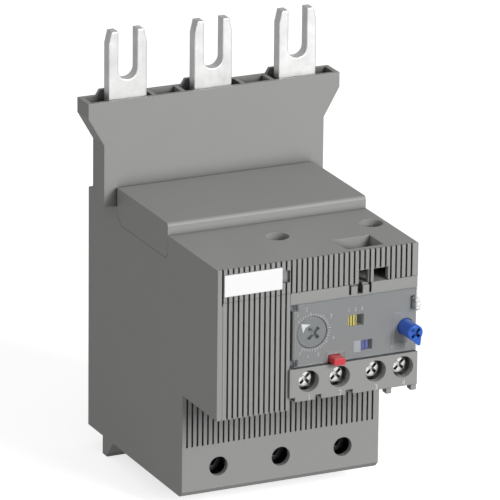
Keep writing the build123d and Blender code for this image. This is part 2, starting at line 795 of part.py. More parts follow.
def make_slider(x, level, ridges):
    """Ridged cap with a flange behind the panel and a stem to its switch."""
    head = block(x, (flange_back, slider_front), level)
    for i in range(ridges):
        step = (x[1] - x[0]) / ridges
        centre = x[0] + step * (i + 0.5)
        head -= block((centre - 0.16, centre + 0.16), (slider_front - 0.5, slider_front + 1), grow(level, 1))
    head += block(grow(x, flange), (flange_back, panel_back - seam), grow(level, 0.55))
    across = (middle(x) - slider_stem, middle(x) + slider_stem)
    upright = (middle(level) - slider_stem, middle(level) + slider_stem)
    return head + block(across, (switch_front - 0.6, flange_back + 0.1), upright)


def make_stop_button():
    head = block(stop_x, (flange_back, stop_front), stop_level)
    head = chamfer(head.edges().filter_by(Axis.Y), 0.3)
    head += block(grow(stop_x, flange), (flange_back, panel_back - seam), (stop_level[0], stop_level[1] + 0.7))
    return head + rod(stem_x, stem_level, stop_stem, (stem_back, flange_back + 0.1))


def make_reset_button():
    """Round knob with a cross slot and a pointer, turned between two positions."""
    back = panel_back - seam - 1.2
    knob = rod(reset_x, reset_level, reset_radius, (back, reset_front))
    knob = chamfer(knob.edges().filter_by(GeomType.CIRCLE).sort_by(Axis.Y)[0], 0.3)
    knob += rod(reset_x, reset_level, reset_collar, (back, panel_back - seam))
    flank = 0.8 * reset_radius
    turn = math.radians(reset_pointer_angle)
    outline = ((reset_pointer, 0.35), (flank / 2, flank), (0, 0), (flank / 2, -flank), (reset_pointer, -0.35))
    nib = []
    for along, aside in outline:
        x = reset_x + along * math.cos(turn) - aside * math.sin(turn)
        nib.append((x, reset_level + along * math.sin(turn) + aside * math.cos(turn)))
    knob += front_profile(nib, (reset_front - reset_pointer_length, reset_front - 0.3))
    knob -= cross(reset_x, reset_level, reset_front, 3.8, 1.0, reset_slot_depth)
    return knob - rod(reset_x, reset_level, reset_stem + thread_gap, (back - 1, back + 3))


def make_reset_plunger():
    back = panel_back - seam - 1.2
    stem = rod(reset_x, reset_level, reset_stem, (plunger_tip + reset_cone, back + 2.9))
    stem += rod(reset_x, reset_level, reset_plunger_collar, (back - 0.9, back - 0.1))
    cone = Cone(0.4, reset_stem, reset_cone)
    cone_depth = plunger_tip + reset_cone / 2
    return stem + Plane(origin=(reset_x, -cone_depth, reset_level), x_dir=(1, 0, 0), z_dir=(0, -1, 0)) * cone


# Auxiliary terminals

def make_aux_screw(x):
    head = (aux_head_front - aux_head, aux_head_front)
    screw = rod(x, aux_level, aux_head_radius, head)
    screw = chamfer(screw.edges().filter_by(GeomType.CIRCLE).sort_by(Axis.Y)[0], 0.4)
    screw += rod(x, aux_level, aux_shank, (chamber_back - aux_reach, head[0] + 0.1))
    return screw - cross(x, aux_level, aux_head_front, 4.4, 0.9, aux_slot_depth)


def washer_span():
    front = aux_head_front - aux_head - seat
    return (front - washer_thickness, front)


def make_aux_clamp(x):
    low = aux_level - washer_half
    across = (x - washer_half, x + washer_half)
    washer = block(across, washer_span(), (low, aux_level + washer_half))
    washer -= rod(x, aux_level, aux_shank + running, grow(washer_span(), 1))
    lip = (washer_span()[0] - 0.9, washer_span()[0] + 0.1)
    return washer + block(across, lip, (low, low + 0.8))


def make_terminal_strip(x, contact_x, contact_depth, facing):
    """Screw plate, its lead under the board and the fixed contact that it carries."""
    plate = (chamber_back + seat, chamber_back + seat + strip_thickness)
    strip = block((x - 3.2, x + 3.2), plate, (lead_bottom, chamber_top - 0.1))
    strip -= rod(x, aux_level, aux_shank + thread_gap, grow(plate, 1))
    lead = (lead_bottom, lead_bottom + strip_thickness)
    near = (contact_depth - 1.2, contact_depth + 1.2)
    strip += block((x - 1.5, x + 1.5), (near[0], plate[1]), lead)
    blade = (contact_x - 0.5, contact_x + 0.5)
    strip += block((min(x - 1.5, blade[0]), max(x + 1.5, blade[1])), near, lead)
    strip += block(blade, near, (lead_bottom, carrier_level[1] - 1))
    face = blade[1] if facing > 0 else blade[0]
    span = sorted((face, face + facing * rivet))
    return strip + block(span, grow(near, -0.3), grow(carrier_level, -1.6))


# Trip unit

def make_circuit_board():
    board = block((-inner_half + 0.2, inner_half - 0.2), board_span, (board_bottom, board_top))
    through = grow(board_span, 1)
    board -= block((reset_x - reset_stem - 0.4, half), through, grow((reset_level, reset_level), reset_stem + 0.4))
    board -= rod(stem_x, stem_level, 1.1, through)
    board -= block((stem_x - 1.1, stem_x + 1.1), through, (board_bottom - 1, stem_level))
    return board


def make_potentiometer():
    body = block((dial_x - 4.5, dial_x + 4.5), (board_span[1], trimmer_front), (dial_level - 4.5, dial_level + 4.5))
    body = chamfer(body.edges().filter_by(Axis.Y), 1.0)
    return body + rod(dial_x, dial_level, 2.6, (trimmer_front - 0.1, trimmer_front + 0.2))


def make_slide_switch(x, level, travel):
    body = block(grow((x[0], x[1] + travel), 1.3), (board_span[1], switch_front), grow(level, 0.9))
    across, levels = stem_slot(x, level, travel)
    return body - block(across, (switch_front - 1, switch_front + 1), levels)


def make_capacitors():
    cans = []
    for x in capacitor_x:
        can = rod(x, capacitor_level, capacitor_radius, (board_span[1], unit_front - wall - 5.4))
        cans.append(chamfer(can.edges().filter_by(GeomType.CIRCLE).sort_by(Axis.Y)[0], 0.5))
    return Compound(children=cans)


def make_controller_chip():
    body = block(chip_x, (board_span[1], board_span[1] + 1.5), chip_level)
    step = (chip_x[1] - chip_x[0]) / 8
    for i in range(8):
        leg = chip_x[0] + step * (i + 0.5)
        body += block((leg - 0.25, leg + 0.25), (board_span[1], board_span[1] + 0.5), grow(chip_level, 0.8))
    return body


def make_mechanism_base():
    """Moulded carrier plate of the trip unit, with two guides and two screw posts."""
    plate = block(base_plate_x, base_plate_depth, (carrier_level[0] - guide_wall, base_plate_top))
    room = (carrier_depth - carrier_half - running, carrier_depth + carrier_half + running)
    for span in carrier_guides:
        x = across_module(span)
        guide = block(x, (base_plate_depth[1] - 0.5, room[1] + guide_wall), grow(carrier_level, guide_wall))
        plate += guide - block(grow(x, 1), room, grow(carrier_level, running))
    for x in screw_hole_x:
        levels = (base_plate_top - post_height, base_plate_top)
        post = block((x - post_half, x + post_half), (base_plate_depth[1] - 0.5, screw_hole_depth + 3), levels)
        plate += post - rod_up(x, screw_hole_depth, screw_shank + 0.05, grow(levels, 1))
    return plate


def make_contact_carrier():
    depth = (carrier_depth - carrier_half, carrier_depth + carrier_half)
    bar = block(carrier_x, depth, carrier_level)
    for x in (nc_bridge, no_bridge):
        bar -= block(grow((x, x + bridge_thickness), 0.05), grow(depth, 1), grow(carrier_level, -1.0))
    arm = block(carrier_arm, depth, (carrier_level[0], coil_level))
    arm += block(carrier_arm, grow(depth, 1.3), grow((coil_level, coil_level), 3.3))
    arm -= rod_across(carrier_depth, coil_level, rod_radius + 0.03, grow(carrier_arm, 1))
    return bar + arm


def make_contact_bridge(x):
    depth = (carrier_depth - bridge_half, carrier_depth + bridge_half)
    return block((x, x + bridge_thickness), depth, grow(carrier_level, -1.1))


def make_trip_armature():
    return rod_across(carrier_depth, coil_level, rod_radius, (yoke_x[0] - 2.0, carrier_arm[1]))


def make_trip_coil():
    body = rod_across(carrier_depth, coil_level, coil_radius, coil_x)
    reach = coil_radius + 0.6
    for end in ((coil_x[0], coil_x[0] + 0.8), (coil_x[1] - 0.8, coil_x[1])):
        body += block(end, grow((carrier_depth, carrier_depth), reach), grow((coil_level, coil_level), reach))
    return body - rod_across(carrier_depth, coil_level, rod_radius + running, grow(coil_x, 1))


def make_trip_yoke():
    """Bent steel strip round the coil, open on its lower side."""
    depth = (base_plate_depth[1] + 0.1, carrier_depth + yoke_half)
    top = coil_level + coil_radius + 0.8
    bottom = carrier_level[1] + 1.5
    yoke = block(yoke_x, depth, (bottom, top + yoke_thickness))
    yoke -= block(grow(yoke_x, -yoke_thickness), grow(depth, 1), (bottom - 1, top))
    return yoke - rod_across(carrier_depth, coil_level, rod_radius + running, grow(yoke_x, 1))


def make_trip_spring():
    spring = coil_spring(2.75, 0.3, (0, carrier_arm[0] - yoke_x[1]), 3, 0, 0)
    return Pos(yoke_x[1], -carrier_depth, coil_level) * Rot(0, 0, 90) * spring


def make_housing_screws():
    floor = well_bottom + well_floor
    screws = []
    for x in screw_hole_x:
        screw = rod_up(x, screw_hole_depth, screw_head, (floor, floor + 2.2))
        screw = chamfer(screw.edges().filter_by(GeomType.CIRCLE).sort_by(Axis.Z)[-1], 0.6)
        screw += rod_up(x, screw_hole_depth, screw_shank, (well_bottom - 5.3, floor + 0.1))
        arm = Rectangle(3.6, 0.9) + Rectangle(0.9, 3.6)
        screw -= extrude(Plane.XY.offset(floor + 1.2) * Pos(x, -screw_hole_depth) * arm, 2)
        screws.append(screw)
    return Compound(children=screws)


def make_label_plate():
    return block(label_x, (unit_front - groove_depth + 0.02, unit_front + label_proud), label_level)


# Every piece by name

pieces = {
    "main_housing": make_main_housing(),
    "front_cover": make_front_cover(),
    "deck_cover": make_deck_cover(),
    "shroud_front": make_shroud_front(),
    "shroud_back": make_shroud_back(),
    "label_plate": make_label_plate(),
    "housing_screws": make_housing_screws(),
    "transformer_tray": make_transformer_tray(),
    "module_frame": make_module_frame(),
    "control_panel": make_control_panel(),
    "terminal_block": make_terminal_block(),
    "clear_cover": make_clear_cover(),
    "current_dial": make_current_dial(),
    "dial_pointer": make_dial_pointer(),
    "class_slider": make_slider(class_x, class_level, 3),
    "test_slider": make_slider(test_x, test_level, 1),
    "stop_button": make_stop_button(),
    "reset_button": make_reset_button(),
    "reset_plunger": make_reset_plunger(),
    "circuit_board": make_circuit_board(),
    "potentiometer": make_potentiometer(),
    "class_switch": make_slide_switch(class_x, class_level, class_travel),
    "test_switch": make_slide_switch(test_x, test_level, test_travel),
    "capacitors": make_capacitors(),
    "controller_chip": make_controller_chip(),
    "mechanism_base": make_mechanism_base(),
    "contact_carrier": make_contact_carrier(),
    "contact_bridges": Compound(children=[make_contact_bridge(x) for x in (nc_bridge, no_bridge)]),
    "trip_armature": make_trip_armature(),
    "trip_coil": make_trip_coil(),
    "trip_yoke": make_trip_yoke(),
    "trip_spring": make_trip_spring(),
    "stop_spring": coil_spring(1.25, 0.2, (plate_front, flange_back), 4, stem_x, stem_level),
    "reset_spring": coil_spring(1.9, 0.28, (plate_front, flange_back - 1.1), 3, reset_x, reset_level),
}

for number, pole in enumerate(poles, start=1):
    pieces[f"phase_bar_{number}"] = make_phase_bar(pole)
    pieces[f"transformer_core_{number}"] = make_transformer_core(pole)
    pieces[f"transformer_winding_{number}"] = make_transformer_winding(pole)
    pieces[f"clamp_cage_{number}"] = make_clamp_cage(pole)
    pieces[f"clamp_screw_{number}"] = make_clamp_screw(pole)

# The fixed contact of each terminal: where it stands across, how deep, and which way it faces
front_contact = carrier_depth + bridge_half - 1.2
rear_contact = carrier_depth - bridge_half + 1.2
closed_x = nc_bridge - rivet - 0.55
open_x = no_bridge + bridge_thickness + trip_travel + contact_clear + rivet + 0.5
contacts = (
    (closed_x, front_contact, 1), (closed_x, rear_contact, 1),
    (open_x, front_contact, -1), (open_x, rear_contact, -1),
)
strips = [make_terminal_strip(x, *contact) for x, contact in zip(aux_x, contacts)]
pieces["aux_terminals"] = Compound(children=strips)
for number, x in enumerate(aux_x, start=1):
    pieces[f"aux_screw_{number}"] = make_aux_screw(x)
    pieces[f"aux_clamp_{number}"] = make_aux_clamp(x)

os.makedirs("parts", exist_ok=True)
for name, piece in pieces.items():
    export_step(piece, f"parts/{name}.step")
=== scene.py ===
"""Looks of an electronic overload relay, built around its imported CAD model."""

import json
import math

import bmesh
import bpy
from mathutils import Matrix, Vector


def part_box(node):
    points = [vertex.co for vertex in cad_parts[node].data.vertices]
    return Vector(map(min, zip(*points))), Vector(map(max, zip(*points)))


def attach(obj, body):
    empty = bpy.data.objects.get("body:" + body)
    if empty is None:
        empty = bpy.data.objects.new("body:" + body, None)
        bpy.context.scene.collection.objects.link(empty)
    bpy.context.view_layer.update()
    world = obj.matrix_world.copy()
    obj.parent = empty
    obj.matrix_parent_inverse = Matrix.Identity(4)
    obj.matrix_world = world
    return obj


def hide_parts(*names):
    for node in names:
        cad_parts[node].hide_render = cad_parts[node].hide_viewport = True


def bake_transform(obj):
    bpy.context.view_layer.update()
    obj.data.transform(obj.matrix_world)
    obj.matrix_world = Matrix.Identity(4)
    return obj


MM = 0.001
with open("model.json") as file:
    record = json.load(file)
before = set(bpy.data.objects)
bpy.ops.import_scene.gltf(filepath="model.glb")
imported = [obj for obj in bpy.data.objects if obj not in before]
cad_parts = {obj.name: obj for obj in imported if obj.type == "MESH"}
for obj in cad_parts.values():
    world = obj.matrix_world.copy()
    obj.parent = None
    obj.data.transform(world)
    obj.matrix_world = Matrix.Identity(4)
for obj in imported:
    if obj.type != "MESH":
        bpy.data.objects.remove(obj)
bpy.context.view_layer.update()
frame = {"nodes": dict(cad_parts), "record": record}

# Places on the relay, in millimetres, as in the CAD model: X across, depth in front of the back, Z up
PANEL_FRONT = 99.9
DIAL = (-1.9, 60.0)
SCALE_INNER = 5.55
SCALE_OUTER = 6.35
SCALE_LONG = 6.75
SCALE_START = -48
SCALE_SWEEP = 260
SCALE_TICKS = 31
TICKS_PER_LONG = 5
TICK_HALF_WIDTH = 0.1
NUMBER_ANGLES = (-38, -14, 55, 111, 163, 189, 211)
NUMBER_RADIUS = 8.1
NUMBER_HEIGHT = 1.3
SMALL_NUMBER_HEIGHT = 1.2
AUX_NUMBER_HEIGHT = 1.9
AUX_NUMBER_ASIDE = 0.3
LETTER_SIZE = 1.35
INK = 0.02
BLOCK_FRONT = 101.3
AUX_X = (-3.5, 7.4, 20.1, 29.8)
AUX_NUMBER_LEVEL = 38.9
CLASS_MARKS_X = (11.0, 13.3, 15.6)
CLASS_MARKS_LEVEL = 65.6
TEST_MARK_X = (12.8, 15.3)
TEST_MARK_LEVEL = (51.1, 55.0)
RESET_MARKS_X = (26.4, 31.4)
RESET_MARKS_LEVEL = 51.2
FEET_BOTTOM = -6.2

# Springs, in millimetres: the body that each one pushes, the way it pushes, and its wire
SPRINGS = {
    "stop_spring": {"body": "stop_button", "way": (0, -1, 0), "radius": 1.25, "wire": 0.34, "turns": 5},
    "reset_spring": {"body": "reset_plunger", "way": (0, -1, 0), "radius": 1.9, "wire": 0.45, "turns": 5},
    "trip_spring": {"body": "trip_carrier", "way": (1, 0, 0), "radius": 2.75, "wire": 0.5, "turns": 3},
}
CLOSED_TURNS = 0.8
STEPS_PER_TURN = 28

# Finish of the moulded and plated pieces, in metres, and how dark the painted shade gets in slots and where
# pieces meet
SOFT_EDGE = 0.00025
PLATED_EDGE = 0.0003
EDGE_GAIN = 5.0
PAINTED_SHADE_DARKEST_IN_SLOTS = 0.08
PAINTED_SHADE_DARKEST_IN_CORNERS = 0.3
GRAIN_DEPTH = 0.00004
LINE_DEPTH = 0.00003

# Camera, solved from the photograph's corners
CAMERA_AZIMUTH = math.radians(-25.35)
CAMERA_ELEVATION = math.radians(18.78)
CAMERA_ROLL = math.radians(0.62)
CAMERA_DISTANCE = 1.920
CAMERA_TARGET = Vector((0, -0.0603, 0.060))
CAMERA_SHIFT_RIGHT = -0.004442
CAMERA_SHIFT_UP = 0.014071
FOCAL_IN_FRAMES = 5978 / 500
SENSOR = 36.0

# Light
BRIGHT_SIDE = (0.42, -0.91, 0.0)
SKY_LIGHT = (0.25, 0.37)
SKY_IN_METAL = (0.42, 1.0)
FLOOR_SIZE = 12
FLOOR_SEEN = 0.86
FLOOR_BOUNCE = 0.35
FLOOR_GLOW = 0.70
LAMPS = {
    "key": {"azimuth": 22, "elevation": 22.5, "distance": 1.4, "size": 0.55, "level": 0.76},
    "fill": {"azimuth": -72, "elevation": 4, "distance": 1.6, "size": 0.8, "level": 0.18},
}


def at(x, depth, z):
    """A place on the relay, in metres."""
    return Vector((x * MM, -depth * MM, z * MM))


# Shader groups

def new_group(name, inputs, outputs):
    """An empty shader group with float inputs and typed outputs."""
    group = bpy.data.node_groups.new(name, "ShaderNodeTree")
    for label, value in inputs:
        socket = group.interface.new_socket(label, in_out="INPUT", socket_type="NodeSocketFloat")
        socket.default_value = value
    for label, kind in outputs:
        group.interface.new_socket(label, in_out="OUTPUT", socket_type=kind)
    entry = group.nodes.new("NodeGroupInput")
    leave = group.nodes.new("NodeGroupOutput")
    return group, entry.outputs, leave.inputs


def math_node(tree, operation, first, second=None, clamp=False):
    """A math node from numbers or other nodes' values."""
    node = tree.nodes.new("ShaderNodeMath")
    node.operation = operation
    node.use_clamp = clamp
    for index, value in enumerate((first, second)):
        if value is None:
            continue
        if isinstance(value, bpy.types.NodeSocket):
            tree.links.new(value, node.inputs[index])
        else:
            node.inputs[index].default_value = value
    return node.outputs[0]


def noise(tree, vector, scale, detail=2.0, roughness=0.5):
    node = tree.nodes.new("ShaderNodeTexNoise")
    node.inputs["Detail"].default_value = detail
    node.inputs["Roughness"].default_value = roughness
    tree.links.new(vector, node.inputs["Vector"])
    if isinstance(scale, bpy.types.NodeSocket):
        tree.links.new(scale, node.inputs["Scale"])
    else:
        node.inputs["Scale"].default_value = scale
    return node.outputs[0]


def object_place(tree):
    return tree.nodes.new("ShaderNodeTexCoord").outputs["Object"]


def build_moulded_grain():
    """Fine spark-eroded grain and faint cloudiness of a moulded plastic wall."""
    group, given, out = new_group(
        "moulded grain",
        [("Grain Scale", 5200.0), ("Fleck", 0.06), ("Cloud", 0.05)],
        [("Shade", "NodeSocketFloat"), ("Height", "NodeSocketFloat")],
    )
    place = object_place(group)
    grain = noise(group, place, given["Grain Scale"], detail=3.0, roughness=0.6)
    cloud = noise(group, place, 55.0, detail=2.0)
    fleck = math_node(group, "MULTIPLY", math_node(group, "SUBTRACT", grain, 0.5), given["Fleck"])
    drift = math_node(group, "MULTIPLY", math_node(group, "SUBTRACT", cloud, 0.5), given["Cloud"])
    shade = math_node(group, "ADD", math_node(group, "ADD", fleck, drift), 1.0)
    group.links.new(shade, out["Shade"])
    group.links.new(grain, out["Height"])
    return group


def build_rounded_edge():
    """Normal of a slightly rounded edge, and a mask of where the edges are."""
    group, given, out = new_group(
        "rounded edge",
        [("Radius", 0.00025), ("Gain", 6.0)],
        [("Normal", "NodeSocketVector"), ("Edge", "NodeSocketFloat")],
    )
    bevel = group.nodes.new("ShaderNodeBevel")
    bevel.samples = 6
    group.links.new(given["Radius"], bevel.inputs["Radius"])
    geometry = group.nodes.new("ShaderNodeNewGeometry")
    dot = group.nodes.new("ShaderNodeVectorMath")
    dot.operation = "DOT_PRODUCT"
    group.links.new(bevel.outputs["Normal"], dot.inputs[0])
    group.links.new(geometry.outputs["True Normal"], dot.inputs[1])
    turned = math_node(group, "SUBTRACT", 1.0, dot.outputs["Value"])
    edge = math_node(group, "MULTIPLY", turned, given["Gain"], clamp=True)
    group.links.new(bevel.outputs["Normal"], out["Normal"])
    group.links.new(edge, out["Edge"])
    return group


def build_drawn_lines():
    """Fine lines along Z, as rolling and plating leave them on a metal bar."""
    group, given, out = new_group(
        "drawn lines",
        [("Line Scale", 2600.0), ("Stretch", 0.03)],
        [("Lines", "NodeSocketFloat"), ("Patches", "NodeSocketFloat")],
    )
    place = object_place(group)
    parts = group.nodes.new("ShaderNodeSeparateXYZ")
    joined = group.nodes.new("ShaderNodeCombineXYZ")
    group.links.new(place, parts.inputs[0])
    group.links.new(parts.outputs["X"], joined.inputs["X"])
    group.links.new(parts.outputs["Y"], joined.inputs["Y"])
    stretched = math_node(group, "MULTIPLY", parts.outputs["Z"], given["Stretch"])
    group.links.new(stretched, joined.inputs["Z"])
    group.links.new(noise(group, joined.outputs[0], given["Line Scale"], detail=3.0), out["Lines"])
    group.links.new(noise(group, place, 180.0, detail=4.0, roughness=0.6), out["Patches"])
    return group


def build_recess_shade(name, own_only):
    """How open a place is: near nothing deep in a slot or hole, one on a free face. Multiplied into a colour,
    it is painted shade.
    """
    group, given, out = new_group(
        name,
        [("Reach", 0.0012), ("Darkest", 0.1)],
        [("Open", "NodeSocketFloat")],
    )
    shade = group.nodes.new("ShaderNodeAmbientOcclusion")
    shade.samples = 8
    shade.only_local = own_only
    group.links.new(given["Reach"], shade.inputs["Distance"])
    curve = group.nodes.new("ShaderNodeMapRange")
    curve.interpolation_type = "SMOOTHSTEP"
    curve.inputs["From Min"].default_value = 0.2
    curve.inputs["From Max"].default_value = 0.9
    group.links.new(shade.outputs["AO"], curve.inputs["Value"])
    group.links.new(given["Darkest"], curve.inputs["To Min"])
    group.links.new(curve.outputs[0], out["Open"])
    return group


GRAIN = build_moulded_grain()
ROUNDED = build_rounded_edge()
DRAWN = build_drawn_lines()
# Painted shade: colours darkened in a piece's own slots, and where pieces meet and in holes
PAINTED_SLOT_SHADE = build_recess_shade("painted slot shade of one piece", True)
PAINTED_CORNER_SHADE = build_recess_shade("painted shade between pieces", False)


# Material helpers

def new_material(name):
    material = bpy.data.materials.new(name)
    material.use_nodes = True
    return material, material.node_tree, material.node_tree.nodes["Principled BSDF"]


def placed(tree, group, **values):
    """A shader group set into a material with its own values."""
    node = tree.nodes.new("ShaderNodeGroup")
    node.node_tree = group
    for label, value in values.items():
        node.inputs[label.replace("_", " ")].default_value = value
    return node.outputs


def scaled_colour(tree, colour, factor):
    """The colour times a value that changes over the surface."""
    node = tree.nodes.new("ShaderNodeMix")
    node.data_type = "RGBA"
    node.blend_type = "MULTIPLY"
    node.inputs[0].default_value = 1.0
    node.inputs[6].default_value = (*colour, 1.0)
    grey = tree.nodes.new("ShaderNodeCombineColor")
    for channel in range(3):
        tree.links.new(factor, grey.inputs[channel])
    tree.links.new(grey.outputs[0], node.inputs[7])
    return node.outputs[2]


def paler_where(tree, factor, base, paler):
    """The base colour, and towards the paler one where the factor is high."""
    node = tree.nodes.new("ShaderNodeMix")
    node.data_type = "RGBA"
    tree.links.new(factor, node.inputs[0])
    tree.links.new(base, node.inputs[6])
    node.inputs[7].default_value = (*paler, 1.0)
    return node.outputs[2]


def bumped(tree, height, normal, strength, distance):
    node = tree.nodes.new("ShaderNodeBump")
    node.inputs["Strength"].default_value = strength
    node.inputs["Distance"].default_value = distance
    tree.links.new(height, node.inputs["Height"])
    tree.links.new(normal, node.inputs["Normal"])
    return node.outputs[0]


def ranged(tree, share, low, high):
    """From low to high as the share goes from nothing to one."""
    node = tree.nodes.new("ShaderNodeMapRange")
    for label, value in (("Value", share), ("To Min", low), ("To Max", high)):
        if isinstance(value, bpy.types.NodeSocket):
            tree.links.new(value, node.inputs[label])
        else:
            node.inputs[label].default_value = value
    return node.outputs[0]


def darkened(tree, value, slots, corners=0.0):
    """The value with painted shade: less in the slots of a piece, and less where pieces meet and in holes."""
    for group, reach, darkest in ((PAINTED_SLOT_SHADE, slots, PAINTED_SHADE_DARKEST_IN_SLOTS), (PAINTED_CORNER_SHADE, corners, PAINTED_SHADE_DARKEST_IN_CORNERS)):
        if reach:
            shade = placed(tree, group, Reach=reach, Darkest=darkest)
            value = math_node(tree, "MULTIPLY", value, shade["Open"])
    return value


def moulded_plastic(name, colour, roughness=0.5, edge_light=0.25, bump=0.25, fleck=0.06,
                    slots=0.0, corners=0.0):
    """Moulded plastic with fine grain, soft edges and a painted highlight along them, with painted shade in
    its slots and where it meets other pieces.
    """
    material, tree, bsdf = new_material(name)
    surface = placed(tree, GRAIN, Fleck=fleck)
    rounded = placed(tree, ROUNDED, Radius=SOFT_EDGE, Gain=EDGE_GAIN)
    # Painted shade: the colour is darkened in slots, in holes and where pieces meet
    base = scaled_colour(tree, colour, darkened(tree, surface["Shade"], slots, corners))
    # Painted highlight: the colour turns paler along the edges
    edge_highlight = math_node(tree, "MULTIPLY", rounded["Edge"], edge_light)
    paler = tuple(min(1.0, 1.35 * c + 0.03) for c in colour)
    tree.links.new(paler_where(tree, edge_highlight, base, paler), bsdf.inputs["Base Color"])
    gloss = ranged(tree, surface["Height"], roughness - 0.06, roughness + 0.06)
    tree.links.new(gloss, bsdf.inputs["Roughness"])
    grain = bumped(tree, surface["Height"], rounded["Normal"], bump, GRAIN_DEPTH)
    tree.links.new(grain, bsdf.inputs["Normal"])
    return material


def plated_metal(name, colour, roughness=0.32, stretch=0.03, edge_radius=PLATED_EDGE, patches=0.08,
                 slots=0.0):
    """Plated or rolled metal with fine lines and faint patches, and painted shade in its slots."""
    material, tree, bsdf = new_material(name)
    lines = placed(tree, DRAWN, Stretch=stretch)
    rounded = placed(tree, ROUNDED, Radius=edge_radius, Gain=EDGE_GAIN)
    # Painted shade: the tone is darkened in the slots
    tone = darkened(tree, ranged(tree, lines["Patches"], 1.0 - patches, 1.0 + patches / 2), slots)
    tree.links.new(scaled_colour(tree, colour, tone), bsdf.inputs["Base Color"])
    gloss = ranged(tree, lines["Lines"], roughness - 0.08, roughness + 0.1)
    tree.links.new(gloss, bsdf.inputs["Roughness"])
    grain = bumped(tree, lines["Lines"], rounded["Normal"], 0.25, LINE_DEPTH)
    tree.links.new(grain, bsdf.inputs["Normal"])
    bsdf.inputs["Metallic"].default_value = 1.0
    return material


def clear_plastic(name):
    """Thin clear plastic: nearly nothing seen face on, more of it at a slant and along its edges."""
    material, tree, bsdf = new_material(name)
    bsdf.inputs["Base Color"].default_value = (0.42, 0.46, 0.49, 1.0)
    bsdf.inputs["Roughness"].default_value = 0.04
    slant = tree.nodes.new("ShaderNodeLayerWeight")
    slant.inputs["Blend"].default_value = 0.2
    rounded = placed(tree, ROUNDED, Radius=PLATED_EDGE, Gain=EDGE_GAIN)
    rim = math_node(tree, "MULTIPLY", rounded["Edge"], 0.8)
    body = ranged(tree, slant.outputs["Facing"], 0.015, 0.8)
    tree.links.new(math_node(tree, "ADD", body, rim, clamp=True), bsdf.inputs["Alpha"])
    return material


# Materials of the relay

CASE = (0.318, 0.318, 0.310)
# edge_light sets the painted highlight along edges; slots and corners set how far the painted shade reaches
# in slots and where pieces meet
materials = {
    "case": moulded_plastic("case grey", CASE, edge_light=0.1, corners=0.003),
    "shroud": moulded_plastic("shroud grey", CASE, edge_light=0.1, corners=0.008),
    "panel": moulded_plastic("panel grey", (0.266, 0.269, 0.267), roughness=0.34, bump=0.08, fleck=0.03),
    "clear": clear_plastic("clear cover"),
    "label": moulded_plastic("label white", (0.98, 0.98, 0.98), roughness=0.4, edge_light=0.0, fleck=0.01),
    "dial": moulded_plastic("dial grey", (0.235, 0.243, 0.245), roughness=0.3, bump=0.08, fleck=0.03,
                            slots=0.0012),
    "pointer": moulded_plastic("pointer white", (0.9, 0.9, 0.9), roughness=0.35, fleck=0.02),
    "class_yellow": moulded_plastic("slider yellow", (0.80, 0.67, 0.12), roughness=0.35, slots=0.0006),
    "test_violet": moulded_plastic("slider violet", (0.085, 0.10, 0.36), roughness=0.35),
    "stop_red": moulded_plastic("button red", (0.62, 0.045, 0.06), roughness=0.28),
    "reset_blue": moulded_plastic("knob blue", (0.016, 0.115, 0.58), roughness=0.2, bump=0.1, slots=0.0014),
    "inner_plastic": moulded_plastic("inner black", (0.05, 0.05, 0.055), roughness=0.45),
    "tinned_bar": plated_metal("tinned copper", (0.77, 0.77, 0.765), roughness=0.42,
                               edge_radius=0.0007, patches=0.32),
    "plated_steel": plated_metal("zinc plate", (0.86, 0.86, 0.85), roughness=0.2, slots=0.0012),
    "terminal_brass": plated_metal("brass", (0.72, 0.52, 0.22), roughness=0.3),
    "spring_steel": plated_metal("spring wire", (0.55, 0.55, 0.56), roughness=0.28),
    "core_steel": plated_metal("core steel", (0.30, 0.30, 0.31), roughness=0.4, stretch=1.0),
    "winding": moulded_plastic("varnished winding", (0.42, 0.13, 0.04), roughness=0.3),
    "board": moulded_plastic("board green", (0.02, 0.15, 0.06), roughness=0.35),
    "component_black": moulded_plastic("component black", (0.025, 0.025, 0.027), roughness=0.4),
    "ink": moulded_plastic("printed ink", (0.72, 0.73, 0.74), roughness=0.5, fleck=0.02),
    "pale_ink": moulded_plastic("pale printed patch", (0.45, 0.46, 0.47), roughness=0.5, fleck=0.02),
    "blackened_steel": plated_metal("blackened steel", (0.16, 0.16, 0.165), roughness=0.42),
}


OWN_FINISH = {
    "clamp_screw_1": "blackened_steel",
    "clamp_screw_2": "blackened_steel",
    "clamp_screw_3": "blackened_steel",
    "shroud_front": "shroud",
    "shroud_back": "shroud",
}


def finish_cad_nodes():
    """Each solid gets the material of its slot in the record, apart from those with a finish of their own."""
    slots = {entry["node"]: entry["material_slot"] for entry in frame["record"]["subparts"]}
    for node, piece in frame["nodes"].items():
        piece.data.materials.clear()
        piece.data.materials.append(materials[OWN_FINISH.get(node, slots[node])])


finish_cad_nodes()


# Printed marks

def add_piece(name, mesh, material, body=None):
    """A new piece of the scene. It rides on a body if one is given."""
    piece = bpy.data.objects.new(name, mesh)
    bpy.context.scene.collection.objects.link(piece)
    piece.data.materials.append(materials[material])
    if body:
        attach(piece, body)
    return piece


def pad_mesh(name, outlines):
    """Thin printed pads from closed (x, z) outlines, on the front of the panel."""
    build = bmesh.new()
    for outline in outlines:
        near = [build.verts.new(at(x, PANEL_FRONT + INK, z)) for x, z in outline]
        far = [build.verts.new(at(x, PANEL_FRONT - INK, z)) for x, z in outline]
        build.faces.new(near)
        build.faces.new(list(reversed(far)))
        for i in range(len(outline)):
            j = (i + 1) % len(outline)
            build.faces.new((near[j], near[i], far[i], far[j]))
    bmesh.ops.recalc_face_normals(build, faces=build.faces)
    mesh = bpy.data.meshes.new(name)
    build.to_mesh(mesh)
    build.free()
    return mesh


def around_dial(angle, radius):
    """A place at an angle from the top, clockwise, in degrees."""
    turn = math.radians(angle)
    return (DIAL[0] + radius * math.sin(turn), DIAL[1] + radius * math.cos(turn))


